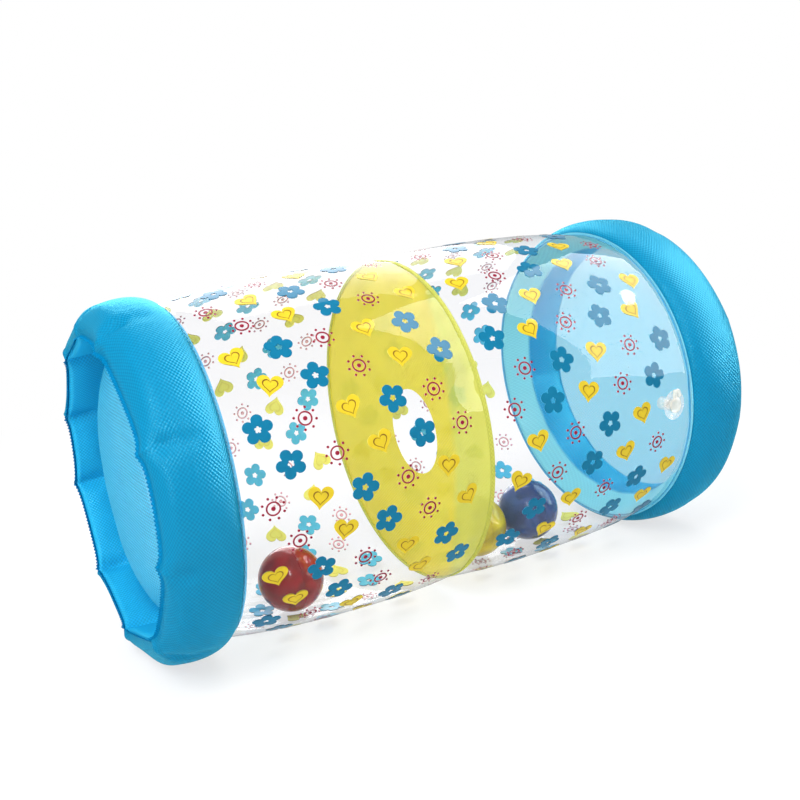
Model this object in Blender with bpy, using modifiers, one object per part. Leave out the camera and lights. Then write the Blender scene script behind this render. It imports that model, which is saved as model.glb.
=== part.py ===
"""A baby crawling roller: a clear barrel of two chambers between two pleated rings, with bell balls in it.

The roller lies on its rings with its axis along X, and Z = 0 is the floor. All sizes are in metres.
Angles round the axis start at +Y and turn towards +Z.
"""
import math

import bmesh
import bpy
from mathutils import Matrix, Vector

MM = 0.001

# Films, and the gaps that keep welded pieces apart
FILM = 0.5 * MM
SEAM_GAP = 0.3 * MM
EDGE_GAP = 0.4 * MM
SEGMENTS = 48
MERGE_DISTANCE = 0.01 * MM

# Barrel
WAIST_RADIUS = 110.0 * MM
CHAMBER_BULGE = 5.0 * MM
END_TAPER = 4.5 * MM
END_SEAM_X = 161.0 * MM
BULGE_POWER = 2.6
BARREL_STEPS = 7

# Partition between the chambers
PARTITION_HOLE_RADIUS = 29.5 * MM
PARTITION_HOLE_SIDE = -8.0 * MM
PARTITION_HOLE_DROP = 7.0 * MM
PARTITION_THICKNESS = 0.6 * MM
WELD_BAND_WIDTH = 3.0 * MM
WELD_BAND_HEIGHT = 1.2 * MM

# End walls, domed outward by the air in the barrel
DOME_RISE = 38.0 * MM
DOME_POWER = 5
RIM_OVERHANG = 1.9 * MM
DOME_SHARES = (0.97, 0.93, 0.89, 0.82, 0.7, 0.5, 0.0)

# Rings
RING_PROUD = 8.5 * MM
FLARE_WIDTH = 14.0 * MM
TREAD_WIDTH = 12.0 * MM
FRONT_DEPTH = 20.0 * MM
HOLE_WALL_RADIUS = 94.0 * MM
CREST_LIP = 2.6 * MM
CREST_ROUND = 4.9 * MM
FLARE_STEPS = 3
FRONT_STEPS = 4
CORNER_STEPS = 2
PLEAT_RISE = 3.0 * MM
PLEAT_REACH = 17.0 * MM
PLEAT_SPREAD_STEPS = 1.5
CREASE_STEPS = (2, 6, 10, 14, 20, 25, 31, 36, 41, 46)

# Balls, bells and the pellets in the bells
BALL_RADIUS = 22.0 * MM
BALL_WALL = 1.2 * MM
BALL_SEGMENTS = 20
BALL_STEPS = 4
BALL_SPLIT = 0.5 * MM
BALL_SPACING = 2.0 * MM
ROLL_GAP = 0.5 * MM
RED_BALL_X = -96.0 * MM
YELLOW_BALL_X = 52.0 * MM
BELL_RADIUS = 8.0 * MM
BELL_WALL = 0.6 * MM
BELL_SLOT_WIDTH = 1.6 * MM
BELL_SLOT_DEPTH = 6.0 * MM
BELL_SEGMENTS = 14
BELL_STEPS = 6
PELLET_RADIUS = 2.2 * MM
PELLET_SEGMENTS = 10
PELLET_RINGS = 6

# Valves: the flange lies on the film, the stem passes through it and the plug closes the stem
VALVE_SEGMENTS = 16
FLANGE_THICKNESS = 0.8 * MM
STEM_WALL = 1.4 * MM
PLUG_CLEARANCE = 0.3 * MM
PLUG_CAP_THICKNESS = 1.6 * MM
PLUG_CAP_OVERLAP = 1.0 * MM
TAB_WIDTH = 4.0 * MM
TAB_THICKNESS = 0.8 * MM
BARREL_VALVE = {"flange": 10.0 * MM, "bore": 3.0 * MM, "stem": 11.0 * MM, "plug": 7.0 * MM}
RING_VALVE = {"flange": 7.0 * MM, "bore": 2.4 * MM, "stem": 9.0 * MM, "plug": 6.0 * MM}
BARREL_VALVE_FROM_SEAM = 15.0 * MM
RING_VALVE_FROM_CREST = 13.0 * MM
VALVE_ANGLE = math.pi

BARREL_END_RADIUS = WAIST_RADIUS - END_TAPER
RING_RADIUS = BARREL_END_RADIUS + RING_PROUD
TREAD_START = END_SEAM_X + FLARE_WIDTH
TREAD_END = TREAD_START + TREAD_WIDTH
CREST_X = TREAD_END + FRONT_DEPTH
CREST_SEAM_RADIUS = HOLE_WALL_RADIUS + CREST_LIP
CREST_RADIUS = CREST_SEAM_RADIUS + CREST_ROUND
BARREL_VALVE_X = END_SEAM_X - BARREL_VALVE_FROM_SEAM
RING_VALVE_X = CREST_X - RING_VALVE_FROM_CREST
BLUE_BALL_X = YELLOW_BALL_X + 2 * BALL_RADIUS + BALL_SPACING
BALL_PLACES = (("red", RED_BALL_X), ("yellow", YELLOW_BALL_X), ("blue", BLUE_BALL_X))
STEP = 2 * math.pi / SEGMENTS
TREAD_HEIGHT = RING_RADIUS * math.cos(STEP / 2) + FILM / 2
SIDES = (("left", -1), ("right", 1))

COLOURS = {
    "clear_film": ((0.90, 0.94, 0.96, 1.0), 0.08, 0.25),
    "yellow_film": ((0.90, 0.78, 0.12, 1.0), 0.30, 0.75),
    "blue_film": ((0.02, 0.45, 0.80, 1.0), 0.35, 0.90),
    "pale_blue_film": ((0.20, 0.62, 0.85, 1.0), 0.30, 0.70),
    "red_plastic": ((0.60, 0.01, 0.02, 1.0), 0.12, 0.80),
    "yellow_plastic": ((0.85, 0.65, 0.03, 1.0), 0.12, 0.80),
    "blue_plastic": ((0.03, 0.10, 0.45, 1.0), 0.12, 0.80),
    "valve_plastic": ((0.85, 0.88, 0.88, 1.0), 0.20, 0.60),
    "bell_metal": ((0.75, 0.75, 0.72, 1.0), 0.25, 1.00),
}


def clear_scene():
    for obj in list(bpy.data.objects):
        bpy.data.objects.remove(obj, do_unlink=True)
    for collection in list(bpy.data.collections):
        bpy.data.collections.remove(collection)


def make_collection(name):
    collection = bpy.data.collections.new(name)
    bpy.context.scene.collection.children.link(collection)
    return collection


def make_material(node_name, finish):
    colour, roughness, alpha = COLOURS[finish]
    material = bpy.data.materials.new(node_name + "_" + finish)
    material.use_nodes = True
    shader = material.node_tree.nodes["Principled BSDF"]
    shader.inputs["Base Color"].default_value = colour
    shader.inputs["Roughness"].default_value = roughness
    shader.inputs["Metallic"].default_value = 1.0 if finish == "bell_metal" else 0.0
    shader.inputs["Alpha"].default_value = alpha
    return material


def make_empty(name, place, parent=None):
    empty = bpy.data.objects.new(name, None)
    empty.location = place
    empty.parent = parent
    PARTS.objects.link(empty)
    return empty


def add_part(name, mesh, finish, parent, place=(0.0, 0.0, 0.0), turn=None):
    part = bpy.data.objects.new(name, mesh)
    mesh.materials.append(make_material(name, finish))
    PARTS.objects.link(part)
    part.parent = parent
    part.matrix_local = Matrix.Translation(place) @ (turn or Matrix.Identity(4))
    mesh.shade_smooth()
    mesh.set_sharp_from_angle(angle=math.radians(35))
    return part


def turned_mesh(name, outline, segments=SEGMENTS, closed=False):
    """Turns an outline of (x, radius) points round the X axis."""
    half = math.pi / segments
    points = [(x, r * math.cos(half), r * math.sin(half)) for x, r in outline]
    edges = [(i, i + 1) for i in range(len(points) - 1)]
    if closed:
        edges.append((len(points) - 1, 0))
    wire = bpy.data.meshes.new(name + "_outline")
    wire.from_pydata(points, edges, [])
    guide = bpy.data.objects.new(name + "_outline", wire)
    PARTS.objects.link(guide)
    screw = guide.modifiers.new("turn", "SCREW")
    screw.axis = "X"
    screw.steps = segments
    screw.render_steps = segments
    screw.use_merge_vertices = True
    screw.merge_threshold = MERGE_DISTANCE
    graph = bpy.context.evaluated_depsgraph_get()
    mesh = bpy.data.meshes.new_from_object(guide.evaluated_get(graph))
    bpy.data.objects.remove(guide, do_unlink=True)
    bpy.data.meshes.remove(wire)
    mesh.name = name
    edit = bmesh.new()
    edit.from_mesh(mesh)
    bmesh.ops.remove_doubles(edit, verts=edit.verts, dist=MERGE_DISTANCE)
    bmesh.ops.recalc_face_normals(edit, faces=edit.faces)
    edit.to_mesh(mesh)
    edit.free()
    return mesh


def add_thickness(part, thickness):
    solidify = part.modifiers.new("film", "SOLIDIFY")
    solidify.thickness = thickness
    solidify.offset = 0.0
    solidify.use_even_offset = True
    solidify.use_quality_normals = True


def box_mesh(name, size, centre):
    edit = bmesh.new()
    bmesh.ops.create_cube(edit, size=1.0)
    bmesh.ops.scale(edit, vec=size, verts=edit.verts)
    bmesh.ops.translate(edit, vec=centre, verts=edit.verts)
    mesh = bpy.data.meshes.new(name)
    edit.to_mesh(mesh)
    edit.free()
    return mesh


def combine(part, mesh, operation, parent, place, turn=None):
    """Cuts a helper shape out of a part, or joins it on."""
    helper = bpy.data.objects.new(mesh.name, mesh)
    CUTTERS.objects.link(helper)
    helper.parent = parent
    helper.matrix_local = Matrix.Translation(place) @ (turn or Matrix.Identity(4))
    helper.hide_render = True
    helper.display_type = "WIRE"
    boolean = part.modifiers.new(mesh.name, "BOOLEAN")
    boolean.operation = operation
    boolean.object = helper


def barrel_radius(x):
    """Middle of the barrel film: each chamber bulges between the waist and its end seam."""
    along = abs(x) / END_SEAM_X
    return WAIST_RADIUS - END_TAPER * along + CHAMBER_BULGE * (1 - abs(2 * along - 1) ** BULGE_POWER)


def dome_x(radius):
    return END_SEAM_X + DOME_RISE * (1 - (radius / BARREL_END_RADIUS) ** DOME_POWER)


def dome_slope(radius):
    return DOME_RISE * DOME_POWER * radius ** (DOME_POWER - 1) / BARREL_END_RADIUS ** DOME_POWER


def crease_peak(angle):
    """1 on a crease of the ring, falling to 0 between creases, which are counted in steps round the ring."""
    place = (angle / STEP - 0.5) % SEGMENTS
    nearest = min(min(abs(place - crease), SEGMENTS - abs(place - crease)) for crease in CREASE_STEPS)
    return max(0.0, 1 - nearest / PLEAT_SPREAD_STEPS)


def pleat(mesh):
    """Draws the crest of the ring out to a point at each crease."""
    for vertex in mesh.vertices:
        x, y, z = vertex.co
        reach = min(1.0, max(0.0, 1 - (CREST_X - x) / PLEAT_REACH))
        vertex.co.x = x + PLEAT_RISE * reach * crease_peak(math.atan2(z, y))


def mirror_mesh(mesh):
    """Reflects a mesh made for the right side to the left side."""
    mesh.transform(Matrix.Scale(-1.0, 4, (1.0, 0.0, 0.0)))
    mesh.flip_normals()


def add_barrel(axis):
    start = WELD_BAND_WIDTH / 2 + SEAM_GAP
    end = END_SEAM_X - FILM / 2 - SEAM_GAP
    films = {}
    for side, sign in SIDES:
        stations = [start + (end - start) * (1 - math.cos(math.pi * i / BARREL_STEPS)) / 2
                    for i in range(BARREL_STEPS + 1)]
        mesh = turned_mesh(side + "_barrel_film", [(x, barrel_radius(x)) for x in stations])
        if sign < 0:
            mirror_mesh(mesh)
        films[side] = add_part(side + "_barrel_film", mesh, "clear_film", axis)
        add_thickness(films[side], FILM)
    return films


def add_partition(axis):
    """The disc and its weld band are turned, and then the hole moves to its place off the centre."""
    half = PARTITION_THICKNESS / 2
    band = WELD_BAND_WIDTH / 2
    inner = WAIST_RADIUS - WELD_BAND_HEIGHT / 2
    outer = WAIST_RADIUS + WELD_BAND_HEIGHT / 2
    section = ((-half, PARTITION_HOLE_RADIUS), (-half, inner), (-band, inner), (-band, outer),
               (band, outer), (band, inner), (half, inner), (half, PARTITION_HOLE_RADIUS))
    mesh = turned_mesh("centre_partition", section, closed=True)
    for vertex in mesh.vertices:
        if math.hypot(vertex.co.y, vertex.co.z) < PARTITION_HOLE_RADIUS + FILM:
            vertex.co.y += PARTITION_HOLE_SIDE
            vertex.co.z -= PARTITION_HOLE_DROP
    add_part("centre_partition", mesh, "yellow_film", axis)


def add_end_wall(axis, side, sign):
    outline = [(END_SEAM_X, BARREL_END_RADIUS + RIM_OVERHANG), (END_SEAM_X, BARREL_END_RADIUS - FILM)]
    outline += [(dome_x(share * BARREL_END_RADIUS), share * BARREL_END_RADIUS) for share in DOME_SHARES]
    mesh = turned_mesh(side + "_end_wall", outline)
    if sign < 0:
        mirror_mesh(mesh)
    add_thickness(add_part(side + "_end_wall", mesh, "pale_blue_film", axis), FILM)


def ring_outer_outline():
    """From the end seam, up the flare, over the tread and down the front to the crest seam."""
    start_x = END_SEAM_X + FILM + SEAM_GAP
    start_radius = BARREL_END_RADIUS + FILM
    outline = []
    for i in range(FLARE_STEPS + 1):
        turn = math.pi / 2 * i / FLARE_STEPS
        outline.append((TREAD_START - (TREAD_START - start_x) * math.cos(turn),
                        start_radius + (RING_RADIUS - start_radius) * math.sin(turn)))
    for i in range(FRONT_STEPS + 1):
        turn = math.pi / 2 * i / FRONT_STEPS
        outline.append((TREAD_END + FRONT_DEPTH * math.sin(turn),
                        CREST_RADIUS + (RING_RADIUS - CREST_RADIUS) * math.cos(turn)))
    outline.append((CREST_X - FILM, CREST_SEAM_RADIUS))
    return outline


def ring_inner_outline():
    """From the crest seam back along the wall of the hole to the end wall."""
    start_x = CREST_X - FILM
    start_radius = CREST_SEAM_RADIUS - EDGE_GAP
    corner = start_radius - HOLE_WALL_RADIUS
    end_radius = HOLE_WALL_RADIUS - FILM / 2
    end_x = dome_x(end_radius) + (FILM / 2 + SEAM_GAP) * math.hypot(1, dome_slope(end_radius))
    outline = []
    for i in range(CORNER_STEPS + 1):
        turn = math.pi / 2 * i / CORNER_STEPS
        outline.append((start_x - corner * (1 - math.cos(turn)), start_radius - corner * math.sin(turn)))
    outline += [(CREST_X - PLEAT_REACH / 2, HOLE_WALL_RADIUS), (end_x, HOLE_WALL_RADIUS)]
    return outline


def add_ring(axis, side, sign):
    films = {}
    for layer, outline in (("outer", ring_outer_outline()), ("inner", ring_inner_outline())):
        name = side + "_ring_" + layer + "_film"
        mesh = turned_mesh(name, outline)
        pleat(mesh)
        if sign < 0:
            mirror_mesh(mesh)
        films[layer] = add_part(name, mesh, "blue_film", axis)
        add_thickness(films[layer], FILM)
    return films["inner"]


def add_valve(name, sizes, film, parent, surface, outward):
    """Adds a valve whose flange lies on the film at a surface point and faces outward."""
    turn = outward.to_track_quat("X", "Z").to_matrix().to_4x4()
    bore = sizes["bore"]
    stem = bore + STEM_WALL
    cap = stem + PLUG_CAP_OVERLAP
    base = FLANGE_THICKNESS + SEAM_GAP

    hole = stem + SEAM_GAP
    reach = sizes["stem"]
    drill_outline = ((-reach, 0.0), (-reach, hole), (reach, hole), (reach, 0.0))
    drill = turned_mesh(name + "_drill", drill_outline, VALVE_SEGMENTS)
    combine(film, drill, "DIFFERENCE", parent, surface, turn)

    section = ((FLANGE_THICKNESS, bore), (FLANGE_THICKNESS, sizes["flange"]), (0.0, sizes["flange"]),
               (0.0, stem), (-reach, stem), (-reach, bore))
    stem_mesh = turned_mesh(name + "_stem", section, VALVE_SEGMENTS, closed=True)
    add_part(name + "_stem", stem_mesh, "valve_plastic", parent, surface, turn)

    plug_radius = bore - PLUG_CLEARANCE
    outline = ((base + PLUG_CAP_THICKNESS, 0.0), (base + PLUG_CAP_THICKNESS, cap - PLUG_CAP_OVERLAP / 2),
               (base + PLUG_CAP_THICKNESS / 2, cap), (base, cap), (base, plug_radius),
               (base - sizes["plug"], plug_radius), (base - sizes["plug"], 0.0))
    plug_mesh = turned_mesh(name + "_plug", outline, VALVE_SEGMENTS)
    plug = add_part(name + "_plug", plug_mesh, "valve_plastic", parent, surface, turn)

    tab_start = cap / 2
    tab_size = (TAB_THICKNESS, TAB_WIDTH, sizes["flange"] - tab_start)
    tab_centre = (base + TAB_THICKNESS / 2, 0.0, (sizes["flange"] + tab_start) / 2)
    combine(plug, box_mesh(name + "_pull_tab", tab_size, tab_centre), "UNION", parent, surface, turn)


def add_barrel_valve(axis, film):
    probe = 1.0 * MM
    slope = (barrel_radius(BARREL_VALVE_X + probe) - barrel_radius(BARREL_VALVE_X - probe)) / (2 * probe)
    outward = Vector((-slope, math.cos(VALVE_ANGLE), math.sin(VALVE_ANGLE))).normalized()
    radius = barrel_radius(BARREL_VALVE_X)
    on_film = Vector((BARREL_VALVE_X, radius * math.cos(VALVE_ANGLE), radius * math.sin(VALVE_ANGLE)))
    surface = on_film + outward * (FILM / 2 + SEAM_GAP)
    add_valve("barrel_valve", BARREL_VALVE, film, axis, surface, outward)


def add_ring_valve(axis, side, sign, film):
    """The hole wall is concave, so the flange stands on the facet that it meets, clear of the next ones."""
    outward = Vector((0.0, -math.cos(VALVE_ANGLE), -math.sin(VALVE_ANGLE)))
    facet = HOLE_WALL_RADIUS * math.cos(STEP / 2) - FILM / 2
    overlap = max(0.0, RING_VALVE["flange"] - HOLE_WALL_RADIUS * math.sin(STEP / 2))
    surface = outward * (SEAM_GAP + overlap * math.sin(STEP) - facet)
    surface.x = sign * RING_VALVE_X
    add_valve(side + "_ring_valve", RING_VALVE, film, axis, surface, outward)


def sphere_outline(radius, steps):
    turns = [math.pi * i / steps for i in range(steps + 1)]
    return [(-radius * math.cos(turn), radius * math.sin(turn)) for turn in turns]


def bell_mesh(name):
    """Two spheres, one inside the other and turned inside out; the slot joins them later."""
    outside = turned_mesh(name, sphere_outline(BELL_RADIUS, BELL_STEPS), BELL_SEGMENTS)
    hollow = sphere_outline(BELL_RADIUS - BELL_WALL, BELL_STEPS)
    inside = turned_mesh(name + "_hollow", hollow, BELL_SEGMENTS)
    inside.flip_normals()
    edit = bmesh.new()
    edit.from_mesh(outside)
    edit.from_mesh(inside)
    edit.to_mesh(outside)
    edit.free()
    return outside


def add_bell(colour, centre):
    """The bell lies in the bottom of its ball, with the slot below and the pellet on the slot."""
    ball_floor = (BALL_RADIUS - BALL_WALL) * math.cos(math.pi / BALL_SEGMENTS) ** 2
    place = Vector((0.0, 0.0, BELL_RADIUS + ROLL_GAP - ball_floor))
    bell = add_part(colour + "_ball_bell", bell_mesh(colour + "_ball_bell"), "bell_metal", centre, place)
    slot_size = (3 * BELL_RADIUS, BELL_SLOT_WIDTH, BELL_SLOT_DEPTH)
    slot = box_mesh(colour + "_bell_slot", slot_size, (0.0, 0.0, -BELL_RADIUS))
    combine(bell, slot, "DIFFERENCE", centre, place)

    facets = math.cos(math.pi / BELL_SEGMENTS) * math.cos(math.pi / BELL_STEPS / 2)
    place.z += PELLET_RADIUS + SEAM_GAP - (BELL_RADIUS - BELL_WALL) * facets
    pellet = bpy.data.meshes.new(colour + "_bell_pellet")
    edit = bmesh.new()
    bmesh.ops.create_uvsphere(edit, u_segments=PELLET_SEGMENTS, v_segments=PELLET_RINGS,
                              radius=PELLET_RADIUS)
    edit.to_mesh(pellet)
    edit.free()
    add_part(colour + "_bell_pellet", pellet, "bell_metal", centre, place)


def add_ball(axis, colour, x):
    """Two half shells that meet in a plane across the roller's axis, with a bell lying in them."""
    barrel_floor = (barrel_radius(x) - FILM / 2) * math.cos(STEP / 2)
    centre = make_empty(colour + "_ball_centre", (x, 0.0, BALL_RADIUS + ROLL_GAP - barrel_floor), axis)
    middle = BALL_RADIUS - BALL_WALL / 2
    split = BALL_SPLIT / 2
    turns = [math.pi / 2 * i / BALL_STEPS for i in range(BALL_STEPS)]
    outline = [(split + (middle - split) * math.sin(turn), middle * math.cos(turn)) for turn in turns]
    outline.append((middle, 0.0))
    for side, sign in SIDES:
        name = colour + "_ball_" + side + "_half"
        mesh = turned_mesh(name, outline, BALL_SEGMENTS)
        if sign < 0:
            mirror_mesh(mesh)
        add_thickness(add_part(name, mesh, colour + "_plastic", centre), BALL_WALL)
    add_bell(colour, centre)


def build():
    axis = make_empty("roller_axis", (0.0, 0.0, TREAD_HEIGHT))
    films = add_barrel(axis)
    add_partition(axis)
    add_barrel_valve(axis, films["right"])
    for side, sign in SIDES:
        add_end_wall(axis, side, sign)
        inner_film = add_ring(axis, side, sign)
        add_ring_valve(axis, side, sign, inner_film)
    for colour, x in BALL_PLACES:
        add_ball(axis, colour, x)


clear_scene()
PARTS = make_collection("crawling_roller")
CUTTERS = make_collection("cutters")
build()
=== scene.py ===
"""Looks of the baby crawling roller: a clear printed barrel between two embossed blue rings.

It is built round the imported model, in its frame: metres, Z up, and the roller's axis along X. Angles
round the axis start at +Y and turn towards +Z. Each film is one sheet, because the real one is thin.
"""
import math
import random

import bmesh
import bpy
from mathutils import Matrix, Vector, noise


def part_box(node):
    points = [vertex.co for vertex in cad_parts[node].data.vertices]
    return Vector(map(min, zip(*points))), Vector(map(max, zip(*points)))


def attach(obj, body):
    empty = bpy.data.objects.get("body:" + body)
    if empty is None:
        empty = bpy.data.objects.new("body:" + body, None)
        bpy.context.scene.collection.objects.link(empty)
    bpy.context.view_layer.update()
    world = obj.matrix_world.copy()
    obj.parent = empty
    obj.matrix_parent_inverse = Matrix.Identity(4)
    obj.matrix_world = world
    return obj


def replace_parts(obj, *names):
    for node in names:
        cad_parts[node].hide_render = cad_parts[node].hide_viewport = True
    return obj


MM = 0.001
SIDES = {"left": -1, "right": 1}

# Films, with the model's sizes
WAIST_RADIUS = 110.0 * MM
CHAMBER_BULGE = 5.0 * MM
END_TAPER = 4.5 * MM
END_SEAM_X = 161.0 * MM
BULGE_POWER = 2.6
DOME_RISE = 38.0 * MM
DOME_POWER = 5
RIM_OVERHANG = 1.9 * MM
RING_PROUD = 8.5 * MM
FLARE_WIDTH = 14.0 * MM
TREAD_WIDTH = 12.0 * MM
FRONT_DEPTH = 20.0 * MM
HOLE_WALL_RADIUS = 94.0 * MM
CREST_LIP = 2.6 * MM
CREST_ROUND = 4.9 * MM
BARREL_END_RADIUS = WAIST_RADIUS - END_TAPER
RING_RADIUS = BARREL_END_RADIUS + RING_PROUD
TREAD_START = END_SEAM_X + FLARE_WIDTH
TREAD_END = TREAD_START + TREAD_WIDTH
CREST_X = TREAD_END + FRONT_DEPTH
CREST_SEAM_RADIUS = HOLE_WALL_RADIUS + CREST_LIP
CREST_RADIUS = CREST_SEAM_RADIUS + CREST_ROUND

# The near side of the blown-up roller is a little longer than the far side
LEAN = 0.042

# Creases round each ring: their places and widths are in degrees
CREASES = (17.5, 49.5, 79.5, 108.0, 154.5, 192.5, 233.5, 275.5, 311.5, 349.0)
CUSP_WIDTH = 3.6
FOLD_WIDTH = 2.8
CREASE_RISE = {"left": 3.2 * MM, "right": 0.8 * MM}
CREASE_DEPTH = {"left": 4.6 * MM, "right": 0.6 * MM}
CREASE_TAIL = {"left": 1.3 * MM, "right": 0.1 * MM}
CHORD_SHARE = {"left": 0.7, "right": 0.1}
CREST_SPREAD = {"left": 4.0 * MM, "right": 0.0}
CREST_DRAW = {"left": 2.5 * MM, "right": 0.0}
PANEL_PUFF = 1.2 * MM
WALL_PUFF = 2.4 * MM
WALL_WOBBLE = 0.8 * MM
CREST_SEAM_BACK = 0.4 * MM
LIP_PITCH = 2.4 * MM
LIP_HEIGHT = 2.8 * MM
LIP_TOOTH = 0.45 * MM

# Barrel film, and the section of the band round its waist as x and height in millimetres
WAIST_GAP = 1.6 * MM
FILM_WOBBLE = 0.3 * MM
FILM_WOBBLE_CELL = 80 * MM
PUCKER = 0.8 * MM
PUCKER_WAVES = 9
WAIST_PUCKER_REACH = 9 * MM
SEAM_PUCKER_REACH = 8 * MM
SEAM_BAND_WIDTH = 1.8 * MM
SEAM_BAND_CROWN = 0.35 * MM
SEAM_BAND_LIFT = 0.1 * MM
WAIST_BAND = ((-1.7, 0.1), (-1.3, 0.7), (1.3, 0.7), (1.7, 0.1), (1.3, -0.6), (-1.3, -0.6), (-1.7, 0.1))

# Partition; past a soft curved line across its near side the film is greener, darker and a little clearer
PARTITION_HOLE_RADIUS = 29.5 * MM
PARTITION_HOLE_SIDE = -8.0 * MM
PARTITION_HOLE_DROP = 7.0 * MM
PARTITION_DISH = 4.0 * MM
PARTITION_RIPPLE = 0.8 * MM
PARTITION_GREEN_LINE_CENTRE = 333.0 * MM
PARTITION_GREEN_LINE_RADIUS = 393.0 * MM

# End walls: each has a dent that clears the pulled ring plug
PLUG_DENT = 4.5 * MM
PLUG_DENT_REACH = 8 * MM
PLUG_DENT_SIDE = -79.0 * MM
DOME_GATHER = 0.8 * MM
DOME_GATHER_REACH = 8 * MM
DOME_WOBBLE = 0.8 * MM
DOME_WOBBLE_CELL = 35 * MM

# Balls
BALL_RADIUS = 22.0 * MM
BALL_WALL = 1.2 * MM
BALL_HALF_GAP = 0.1 * MM

# Valves, as flange radius, bore, stem length and plug length
VALVE_SIZES = {
    "barrel_valve": (10.0 * MM, 3.0 * MM, 11.0 * MM, 7.0 * MM),
    "left_ring_valve": (7.0 * MM, 2.4 * MM, 9.0 * MM, 6.0 * MM),
    "right_ring_valve": (7.0 * MM, 2.4 * MM, 9.0 * MM, 6.0 * MM),
}
STEM_WALL = 1.4 * MM
FLANGE_THICKNESS = 0.8 * MM
PLUG_CLEARANCE = 0.3 * MM
CAP_START = 1.1 * MM
VALVE_DENT = 0.9 * MM
VALVE_DENT_REACH = 16 * MM
TAB_THICKNESS = 0.7 * MM
TAB_HALF_WIDTH = 2.0 * MM
TAB_TAPER = 0.9 * MM
TAB_RIB = 0.14 * MM
BARREL_VALVE_OUT = Vector((0.14259, -0.98978, 0.0))
RING_VALVE_OUT = Vector((0.0, 1.0, 0.0))

# Print on the barrel; the place kept free for the valve is a length along the axis and radians round it,
# and the spin of a motif is in degrees
VALVE_FREE_LENGTH = 16 * MM
VALVE_FREE_TURN = 0.16
MOTIF_PITCH = 27.5 * MM
MOTIF_SPIN = 25
PRINT_OFFSET = 0.25 * MM
PRINT_EDGE = 9.0 * MM

# Emboss on the coloured films with painted shade, darker in its dimples and lighter on its crowns, and the
# least and most gloss of the clear one and its inks
EMBOSS_PITCH = 2.7 * MM
RIB_PITCH = 2.1 * MM
FILM_GLOSS = (0.014, 0.4)
EMBOSS_PAINTED_SHADE = (0.74, 1.1)
ZONE_EMBOSS_PAINTED_SHADE = (0.9, 1.04)

# Studio: the floor glows at a share under the roller and is white from the further distance on
FLOOR_GLOW = 0.7
FLOOR_WHITE = (0.25, 0.7)
FLOOR_REACH = 30.0
WORLD_LIGHT = 0.38

# Camera, from a fit to outline points of the photograph
CAMERA_PLACE = (-0.40135, -0.73469, 0.33553)
CAMERA_AZIMUTH = 28.621
CAMERA_ELEVATION = -13.879
CAMERA_ROLL = -5.4
CAMERA_LENS = 56.761


def smooth(value):
    value = min(1.0, max(0.0, value))
    return value * value * (3 - 2 * value)


def bell_curve(distance, width):
    return math.exp(-(distance / width) ** 2)


def dent(away, reach):
    """1 up to 0.6 of its reach, and 0 from 1.6 of it on."""
    return smooth(1.6 - away / reach)


def on_axis(x, radius, turn):
    """The point at a place along the axis, a radius and an angle round it, with the lean of the ends."""
    across = radius * math.cos(turn)
    return Vector((x * (1 - LEAN * across / END_SEAM_X), across, AXIS_HEIGHT + radius * math.sin(turn)))


def wobble(turn, x, size, cell):
    """Soft unevenness of a blown-up film, the same on each run."""
    place = Vector((x, WAIST_RADIUS * math.cos(turn), WAIST_RADIUS * math.sin(turn))) / cell
    return size * noise.noise(place)


def barrel_radius(x):
    along = abs(x) / END_SEAM_X
    return WAIST_RADIUS - END_TAPER * along + CHAMBER_BULGE * (1 - abs(2 * along - 1) ** BULGE_POWER)


def chamber_radius(sign, x, turn):
    """The barrel film with its unevenness, its puckers at the seams and the dent at the valve."""
    waist = math.exp(-x / WAIST_PUCKER_REACH)
    seam = math.exp(-(END_SEAM_X - x) / SEAM_PUCKER_REACH)
    spot = Vector((math.cos(turn) * PUCKER_WAVES, math.sin(turn) * PUCKER_WAVES, 4.0 * sign))
    puckers = noise.noise(spot) * PUCKER
    radius = barrel_radius(x) + wobble(turn, sign * x, FILM_WOBBLE, FILM_WOBBLE_CELL)
    radius += puckers * (waist * (1 - waist) * 4 + seam * (1 - seam) * 2)
    if sign > 0:
        away = math.hypot((x - VALVE_X) * 1.03, (turn % (2 * math.pi) - math.pi) * WAIST_RADIUS)
        radius -= VALVE_DENT * dent(away, VALVE_DENT_REACH)
    return radius


def dome_x(radius):
    return END_SEAM_X + DOME_RISE * (1 - (radius / BARREL_END_RADIUS) ** DOME_POWER)


def crease_near(turn):
    """Degrees to the nearest crease, and half the width of the panel that the angle is in."""
    degrees = math.degrees(turn) % 360
    after = next((crease for crease in CREASES if crease > degrees), CREASES[0] + 360)
    before = max((crease for crease in CREASES if crease <= degrees), default=CREASES[-1] - 360)
    return min(degrees - before, after - degrees), (after - before) / 2


class Outline:
    """A line of (x, radius) points that is read by the share of its length."""

    def __init__(self, points):
        self.points = [Vector(point) for point in points]
        self.marks = [0.0]
        for start, end in zip(self.points, self.points[1:]):
            self.marks.append(self.marks[-1] + (end - start).length)
        self.length = self.marks[-1]

    def at(self, share):
        mark = min(max(share, 0.0), 1.0) * self.length
        index = next(i for i in range(1, len(self.marks)) if self.marks[i] >= mark - 1e-12)
        start, end = self.marks[index - 1], self.marks[index]
        return self.points[index - 1].lerp(self.points[index], (mark - start) / (end - start))


def arc(centre, size, start, end, steps):
    """Points on an ellipse; the angles are in degrees."""
    points = []
    for i in range(steps + 1):
        turn = math.radians(start + (end - start) * i / steps)
        points.append((centre[0] + size[0] * math.cos(turn), centre[1] + size[1] * math.sin(turn)))
    return points


def link(name, mesh, materials):
    piece = bpy.data.objects.new(name, mesh)
    for material in materials:
        mesh.materials.append(material)
    bpy.context.scene.collection.objects.link(piece)
    mesh.shade_smooth()
    return piece


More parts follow.
